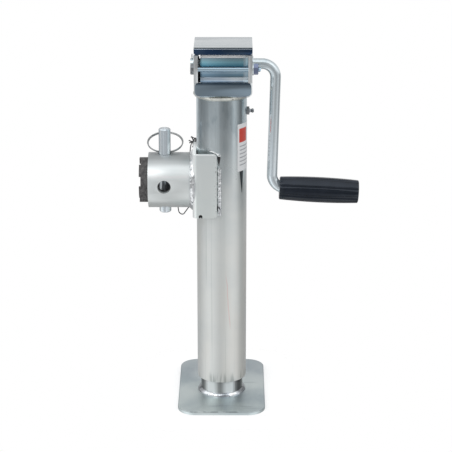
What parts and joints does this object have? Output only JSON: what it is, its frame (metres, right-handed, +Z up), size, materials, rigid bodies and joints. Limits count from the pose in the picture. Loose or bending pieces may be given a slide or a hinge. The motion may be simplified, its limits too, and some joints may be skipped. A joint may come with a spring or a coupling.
{
  "type": "swivel trailer jack",
  "caption": "Side-wind trailer jack: zinc tube with foot plate, geared head, crank with black grip, and a swivel sleeve with pull pin and weld-on stub.",
  "frame": {"origin": "on the floor, under the axis of the housing tube, in the foot plate's lower face", "axes": "+Z up along the housing tube, +X to the crank side, +Y to the back"},
  "size_m": [0.2646, 0.168, 0.446],
  "materials": {
    "tube_zinc": "bright zinc plate",
    "head_zinc": "zinc-plated sheet",
    "blue_zinc": "blue-passivated zinc",
    "satin_silver": "satin silver",
    "bare_steel": "dark mill scale",
    "polished_zinc": "polished zinc rod",
    "grip_plastic": "gloss black",
    "fastener_zinc": "blue zinc",
    "weld_metal": "weld bead",
    "gear_steel": "greased steel",
    "bronze": "oiled bronze",
    "wire_steel": "dull wire"
  },
  "bodies": {
    "jack_body": {"housing_tube": "tube_zinc", "grease_fitting": "fastener_zinc", "head_bracket": "head_zinc", "head_weld": "weld_metal", "top_cover": "head_zinc", "gear_cover": "blue_zinc", "cover_bolt": "fastener_zinc", "bolt_washer": "fastener_zinc", "cover_nut": "fastener_zinc", "shaft_bushing_left": "bronze", "shaft_bushing_right": "bronze", "bearing_race_fixed": "gear_steel", "gear_washer": "bronze", "saddle_bracket": "satin_silver", "saddle_weld": "weld_metal", "swivel_sleeve": "satin_silver", "sleeve_weld": "weld_metal", "tie_wire": "wire_steel"},
    "leg": {"leg_tube": "tube_zinc", "foot_plate": "head_zinc", "foot_weld": "weld_metal", "lead_nut": "bronze"},
    "crank": {"crank_handle": "polished_zinc", "shaft_washer": "fastener_zinc", "cotter_pin": "fastener_zinc", "pinion": "gear_steel", "pinion_pin": "gear_steel"},
    "screw": {"lead_screw": "gear_steel", "screw_gear": "gear_steel", "screw_gear_pin": "gear_steel", "screw_stop": "gear_steel", "bearing_race_turning": "gear_steel"},
    "balls": {"bearing_balls": "gear_steel"},
    "handle_grip": {"grip": "grip_plastic"},
    "pull_pin": {"lock_pin": "polished_zinc"},
    "pull_ring": {"pin_ring": "wire_steel"},
    "swivel_mount": {"mount_stub": "bare_steel", "stub_snap_ring": "gear_steel"}
  },
  "joints": [
    {"name": "crank_turn", "type": "hinge", "parent": "jack_body", "child": "crank", "pos_m": [0, 0, 0.4205], "axis": [1, 0, 0], "range_deg": [0, 36000]},
    {"name": "leg_slide", "type": "slide", "parent": "jack_body", "child": "leg", "axis": [0, 0, -1], "range_m": [0, 0.254]},
    {"name": "screw_turn", "type": "hinge", "parent": "jack_body", "child": "screw", "pos_m": [0, 0, 0.4085], "axis": [0, 0, 1], "range_deg": [0, 21600]},
    {"name": "ball_cage_turn", "type": "hinge", "parent": "jack_body", "child": "balls", "pos_m": [0, 0, 0.3823], "axis": [0, 0, 1], "range_deg": [0, 10800]},
    {"name": "grip_spin", "type": "hinge", "parent": "crank", "child": "handle_grip", "pos_m": [0.0604, 0, 0.2678], "axis": [0.9988, 0, -0.0488], "continuous": true},
    {"name": "pin_pull", "type": "slide", "parent": "jack_body", "child": "pull_pin", "axis": [0, 0, 1], "range_m": [0, 0.07]},
    {"name": "ring_tilt", "type": "hinge", "parent": "pull_pin", "child": "pull_ring", "pos_m": [-0.0684, 0, 0.31255], "axis": [1, 0, 0], "range_deg": [-24, 164]},
    {"name": "swivel", "type": "hinge", "parent": "jack_body", "child": "swivel_mount", "pos_m": [-0.0684, 0, 0.2775], "axis": [1, 0, 0], "range_deg": [-1.5, 1.5]}
  ],
  "couplings": [
    {"joint": "leg_slide", "follows": "crank_turn", "m_per_rad": 0.00040425},
    {"joint": "screw_turn", "follows": "crank_turn", "ratio": 0.6},
    {"joint": "ball_cage_turn", "follows": "crank_turn", "ratio": 0.3}
  ]
}
